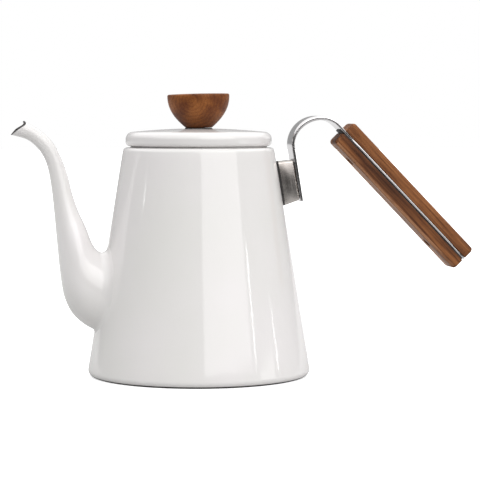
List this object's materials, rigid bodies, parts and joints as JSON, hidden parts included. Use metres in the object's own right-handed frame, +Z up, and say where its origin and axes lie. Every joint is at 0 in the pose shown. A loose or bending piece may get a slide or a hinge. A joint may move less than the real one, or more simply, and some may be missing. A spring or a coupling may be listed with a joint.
{
  "type": "gooseneck kettle",
  "caption": "Enamelled steel pour-over kettle with a tapered pot, an S-curved gooseneck spout, a lift-off lid with a wooden knob and a bent steel strap handle with a wooden grip.",
  "frame": {"origin": "centre of the pot's flat underside", "axes": "+Z up along the pot's axis, +X from the pot to the handle, with the spout towards -X"},
  "size_m": [0.2915, 0.14, 0.1776],
  "materials": {
    "enamel": "glossy white vitreous enamel on steel",
    "bare_edge": "thin dark ground-coat enamel",
    "polished_steel": "polished stainless steel",
    "screw_steel": "plain stainless steel",
    "brass": "turned brass",
    "dark_rubber": "matte dark rubber",
    "knob_wood": "oiled brown hardwood, fine rings",
    "grip_wood": "oiled brown hardwood, straight grain"
  },
  "bodies": {
    "pot": {"body_shell": "enamel", "base_plate": "bare_edge", "spout": "enamel", "bracket_gasket": "dark_rubber", "handle_bracket": "polished_steel", "bracket_nut_plate": "screw_steel", "bracket_screw_upper": "screw_steel", "bracket_screw_lower": "screw_steel", "bracket_screw_washer_upper": "dark_rubber", "bracket_screw_washer_lower": "dark_rubber", "handle_rivet_upper": "polished_steel", "handle_rivet_lower": "polished_steel", "handle_strap": "polished_steel", "grip_upper": "grip_wood", "grip_lower": "grip_wood", "grip_spacer": "dark_rubber", "grip_screw_front": "screw_steel", "grip_screw_rear": "screw_steel", "grip_insert_front": "brass", "grip_insert_rear": "brass"},
    "lid": {"lid_shell": "enamel", "lid_collar": "enamel", "lid_knob": "knob_wood", "knob_washer": "dark_rubber", "knob_insert": "brass", "knob_screw": "screw_steel", "knob_screw_washer": "screw_steel"}
  },
  "joints": [
    {"name": "lid_lift", "type": "slide", "parent": "pot", "child": "lid", "axis": [0, 0, 1], "range_m": [0, 0.06]}
  ]
}
